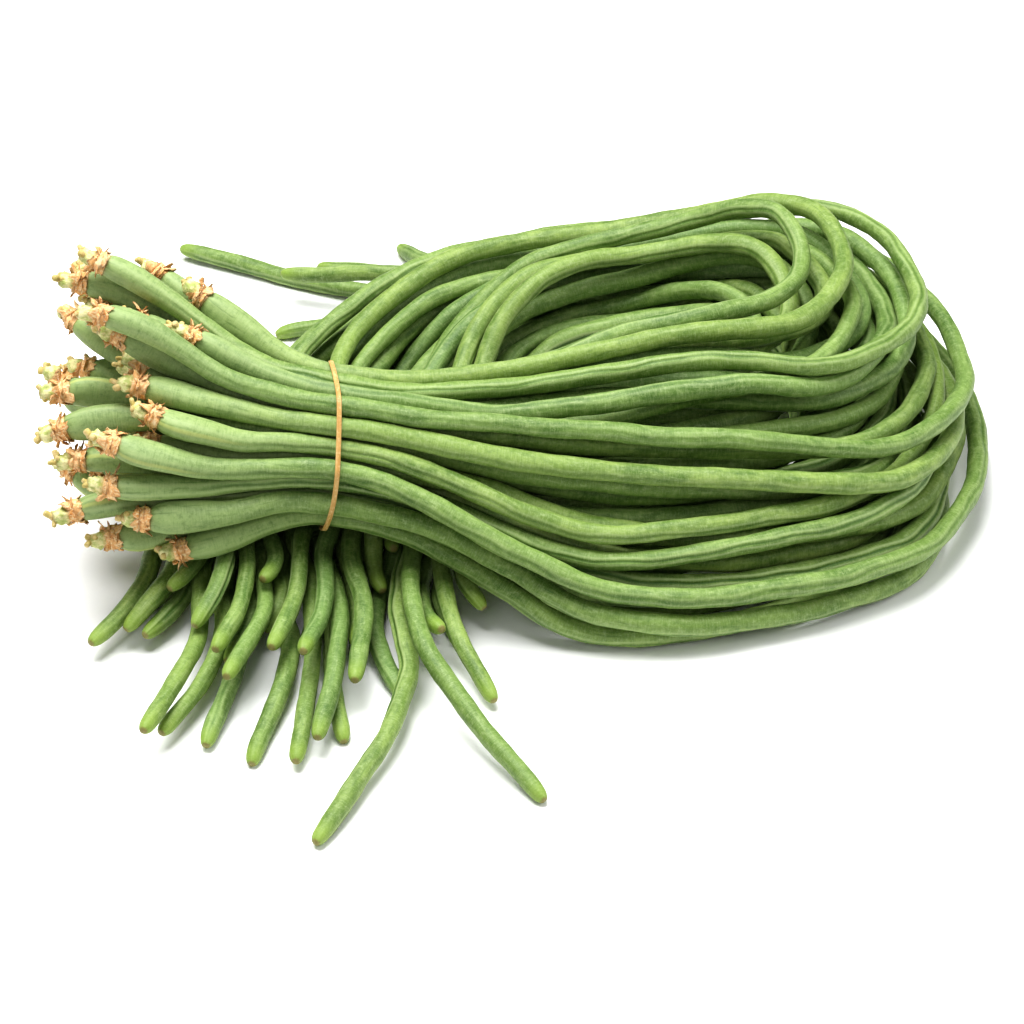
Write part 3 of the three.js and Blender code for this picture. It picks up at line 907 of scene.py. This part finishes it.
def stem_material():
    """Pale yellow-green stalk with brown scars, a dry cut and an orange neck under the calyx."""
    n = Nodes("stem_skin")
    place = n.attribute("place")
    start = n.split(n.attribute("ends"))[0]
    blotches = n.noise(place, 0.45, 3.0, 0.6)
    grains = n.noise(place, 1.9, 3.0, 0.65)
    fibres = n.noise(place, (1.6, 1.6, 0.25), 2.0)
    color = n.layered(
        n.mix(n.rise(blotches, 0.36, 0.66), STALK_GREEN, STALK_CREAM),
        (n.rise(fibres, 0.5, 0.75), 0.4, FIBRE_CREAM),
        (n.rise(grains, 0.58, 0.72), 0.6, SCAR_BROWN),
        (n.rise(n.uneven(start, grains, 1.0), 1.6, 0.7), 0.6, CUT_BROWN),
        (n.rise(start, 3.6, 5.0), 0.5, NECK_ORANGE),
    )
    height = n.uneven(n.product(grains, 0.7), fibres, 0.5)
    return n.finish(color, n.uneven(0.55, grains, 0.3), height, 0.7, 0.4 * MM)


def calyx_material():
    """Dry papery lobes, orange brown with cream veins and dark torn edges."""
    n = Nodes("dry_calyx")
    place = n.attribute("place")
    reach, _, tone = n.split(n.attribute("ends"))
    veins = n.noise(place, (1.8, 0.35, 1.0), 2.0)
    blotches = n.noise(place, 0.7, 3.0, 0.6)
    grains = n.noise(place, 3.0, 2.0, 0.6)
    torn = n.product(n.rise(n.uneven(reach, blotches, 0.5), 1.06, 1.36), n.rise(reach, 3.0, 2.0))
    color = n.layered(
        n.mix(n.rise(blotches, 0.36, 0.64), PAPER_BROWN, PAPER_ORANGE),
        (n.rise(veins, 0.48, 0.64), 0.75, VEIN_CREAM),
        (n.rise(grains, 0.60, 0.70), 0.5, SPECK_BROWN),
        (tone, 0.5, FADED_PAPER),
        (torn, 0.35, TORN_BROWN),
    )
    height = n.uneven(n.product(veins, 0.8), grains, 0.4)
    return n.finish(color, n.uneven(0.62, blotches, 0.25), height, 0.9, 0.5 * MM)


def band_material():
    """Matte tan rubber with dust and rub marks."""
    n = Nodes("tan_rubber")
    place = n.attribute("place")
    dust = n.noise(place, 1.4, 3.0, 0.6)
    rubbed = n.noise(place, (1.0, 1.0, 0.12), 2.0)
    color = n.mix(n.rise(rubbed, 0.3, 0.7), RUBBER_BROWN, RUBBER_TAN)
    color = n.layered(color, (n.rise(dust, 0.48, 0.7), 0.5, DUST_TAN))
    return n.finish(color, n.uneven(0.45, dust, 0.25), dust, 0.4, 0.15 * MM)


def floor_material():
    """White studio surface with a trace of grain."""
    n = Nodes("white_floor")
    position = n.add("ShaderNodeNewGeometry").outputs["Position"]
    grain = n.noise(position, 400.0, 2.0)
    color = n.mix(grain, FLOOR_GREY, FLOOR_WHITE)
    return n.finish(color, 0.6, grain, 0.02, 0.1 * MM)


# The studio
def add_floor():
    """Wide white floor under the bunch."""
    corners = [(-FLOOR_HALF, -FLOOR_HALF, 0), (FLOOR_HALF, -FLOOR_HALF, 0)]
    corners += [(FLOOR_HALF, FLOOR_HALF, 0), (-FLOOR_HALF, FLOOR_HALF, 0)]
    mesh = bpy.data.meshes.new("floor")
    mesh.from_pydata(corners, [], [(0, 1, 2, 3)])
    mesh.materials.append(floor_material())
    floor = bpy.data.objects.new("floor", mesh)
    bpy.context.scene.collection.objects.link(floor)


def aim(obj, place, target):
    """Turns a light or camera at a place towards its target."""
    obj.location = place
    obj.rotation_euler = (Vector(target) - Vector(place)).to_track_quat("-Z", "Y").to_euler()


def add_light(name, place, size, power):
    """Soft square light that faces the bunch."""
    data = bpy.data.lights.new(name, "AREA")
    data.size = size
    data.energy = power
    light = bpy.data.objects.new(name, data)
    bpy.context.scene.collection.objects.link(light)
    aim(light, place, LIGHT_TARGET)


def add_world(strength):
    """Even white surroundings."""
    world = bpy.data.worlds.new("studio")
    bpy.context.scene.world = world
    world.use_nodes = True
    background = world.node_tree.nodes["Background"]
    background.inputs["Color"].default_value = (1, 1, 1, 1)
    background.inputs["Strength"].default_value = strength


def add_camera():
    """The photograph's view."""
    data = bpy.data.cameras.new("camera")
    data.sensor_width = 36
    data.lens = CAMERA_LENS
    camera = bpy.data.objects.new("camera", data)
    bpy.context.scene.collection.objects.link(camera)
    way = Vector((0, -math.cos(CAMERA_TILT), math.sin(CAMERA_TILT)))
    aim(camera, CAMERA_TARGET + way * CAMERA_DISTANCE, CAMERA_TARGET)
    bpy.context.scene.camera = camera


# The whole scene
def make_bunch():
    """All the beans and their band."""
    names = sorted(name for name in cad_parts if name.startswith("bean"))
    knots = [bean_knots(name) for name in names]
    lines = [wandering(smooth_line(centres)) for centres, _ in knots]
    lines = push_apart(lines, PUSH_ROUNDS)
    materials = [pod_material(), stem_material(), calyx_material()]
    for name, line, (_, across) in zip(names, lines, knots):
        make_bean(name, line, across, materials)
    make_band(lines, band_material())


make_bunch()
add_floor()
add_world(0.04)
add_light("key", place=(-0.20, 0.18, 1.2), size=0.9, power=28)
add_light("front", place=(-0.35, -1.2, 1.0), size=0.9, power=5)
add_light("side", place=(1.0, -0.1, 0.7), size=0.6, power=5.5)
add_camera()
bpy.context.scene.view_settings.view_transform = "Standard"
bpy.context.scene.view_settings.look = "Medium High Contrast"
